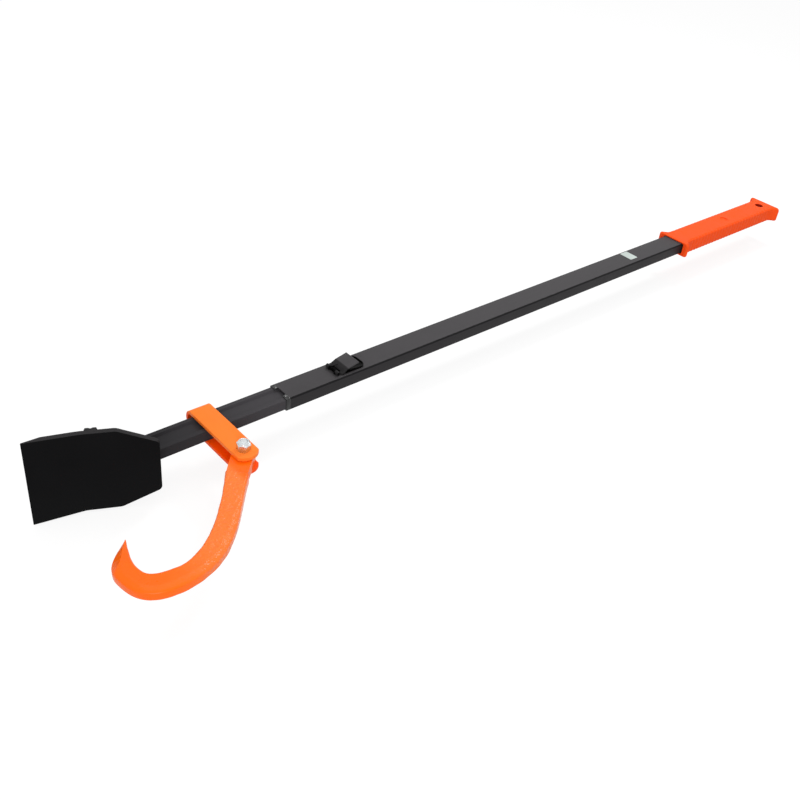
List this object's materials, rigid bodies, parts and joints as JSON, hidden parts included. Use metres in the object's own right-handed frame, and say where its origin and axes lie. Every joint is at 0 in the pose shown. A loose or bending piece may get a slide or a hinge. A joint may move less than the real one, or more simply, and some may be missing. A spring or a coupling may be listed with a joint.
{
  "type": "telescopic felling lever",
  "caption": "Felling lever whose bar slides out of its handle tube, with a bent blade, a swinging cant hook on a sliding strap, a latch and a soft grip.",
  "frame": {"origin": "middle of the hang hole in the grip, on the axis of the handle tube", "axes": "+X runs along the bar from the blade to the grip's end, +Y is away from the hook, +Z is the axis of the hang hole, square to the tube's wide face that carries the latch"},
  "size_m": [1.2434, 0.2083, 0.1],
  "materials": {
    "tube_paint": "satin charcoal powder coat",
    "bar_paint": "satin charcoal powder coat",
    "blade_paint": "matte black powder coat",
    "dark_steel": "blackened pressed steel",
    "black_plastic": "moulded black plastic",
    "plain_steel": "plain steel",
    "zinc": "bright zinc plate",
    "orange_paint": "orange powder coat",
    "hook_paint": "orange powder coat on a forging",
    "grip_rubber": "soft orange-red grip rubber"
  },
  "bodies": {
    "handle": {"outer_tube": "tube_paint", "guide_collar": "black_plastic", "stop_rivet": "dark_steel", "grip": "grip_rubber", "latch_bracket": "dark_steel", "bracket_rivet_front": "dark_steel", "bracket_rivet_rear": "dark_steel", "latch_hinge_pin": "plain_steel"},
    "shaft": {"inner_bar": "bar_paint", "bar_glide": "black_plastic", "glide_pin": "plain_steel", "blade": "blade_paint", "heel_bar": "blade_paint", "blade_weld": "blade_paint"},
    "strap": {"clevis_strap": "orange_paint", "pivot_bolt": "zinc", "pivot_nut": "zinc"},
    "hook": {"hook": "hook_paint"},
    "latch": {"latch_lever": "dark_steel", "lock_pin": "plain_steel", "latch_spring": "plain_steel"}
  },
  "joints": [
    {"name": "bar_slide", "type": "slide", "parent": "handle", "child": "shaft", "axis": [-1, 0, 0], "range_m": [0, 0.4]},
    {"name": "strap_slide", "type": "slide", "parent": "shaft", "child": "strap", "axis": [1, 0, 0], "range_m": [-0.053, 0.066]},
    {"name": "hook_pivot", "type": "hinge", "parent": "strap", "child": "hook", "pos_m": [-1.034, -0.0625, 0], "axis": [0, 0, 1], "range_deg": [-22, 140]},
    {"name": "latch_hinge", "type": "hinge", "parent": "handle", "child": "latch", "pos_m": [-0.8755, 0, 0.0106], "axis": [0, -1, 0], "range_deg": [0, 25], "stiffness_Nm_per_rad": 0.06, "springref_deg": -34.38}
  ]
}
